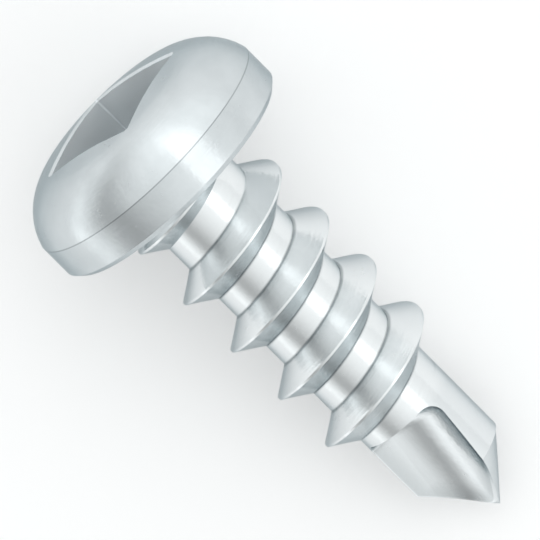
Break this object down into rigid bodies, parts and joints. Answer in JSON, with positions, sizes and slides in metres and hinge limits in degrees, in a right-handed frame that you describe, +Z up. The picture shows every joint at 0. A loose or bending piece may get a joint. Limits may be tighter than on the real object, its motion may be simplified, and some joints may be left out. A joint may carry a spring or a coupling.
{
  "type": "self drilling screw",
  "caption": "Self drilling screw with a round pan head, a square drive recess, a coarse sharp right-hand thread and a fluted drill point, lying on its side.",
  "frame": {"origin": "centre of the bounding box's bottom face, on the surface that the screw lies on", "axes": "+X runs along the screw's length from the head to the drill point, seen from above, +Y to its left, +Z up; the screw's own axis lies in the XZ plane and dips 12.7 degrees towards the point"},
  "size_m": [0.0192, 0.0094, 0.0095],
  "materials": {
    "zinc_plated_steel": "zinc plated, semi-bright"
  },
  "bodies": {
    "root": {"screw": "zinc_plated_steel"}
  },
  "joints": []
}
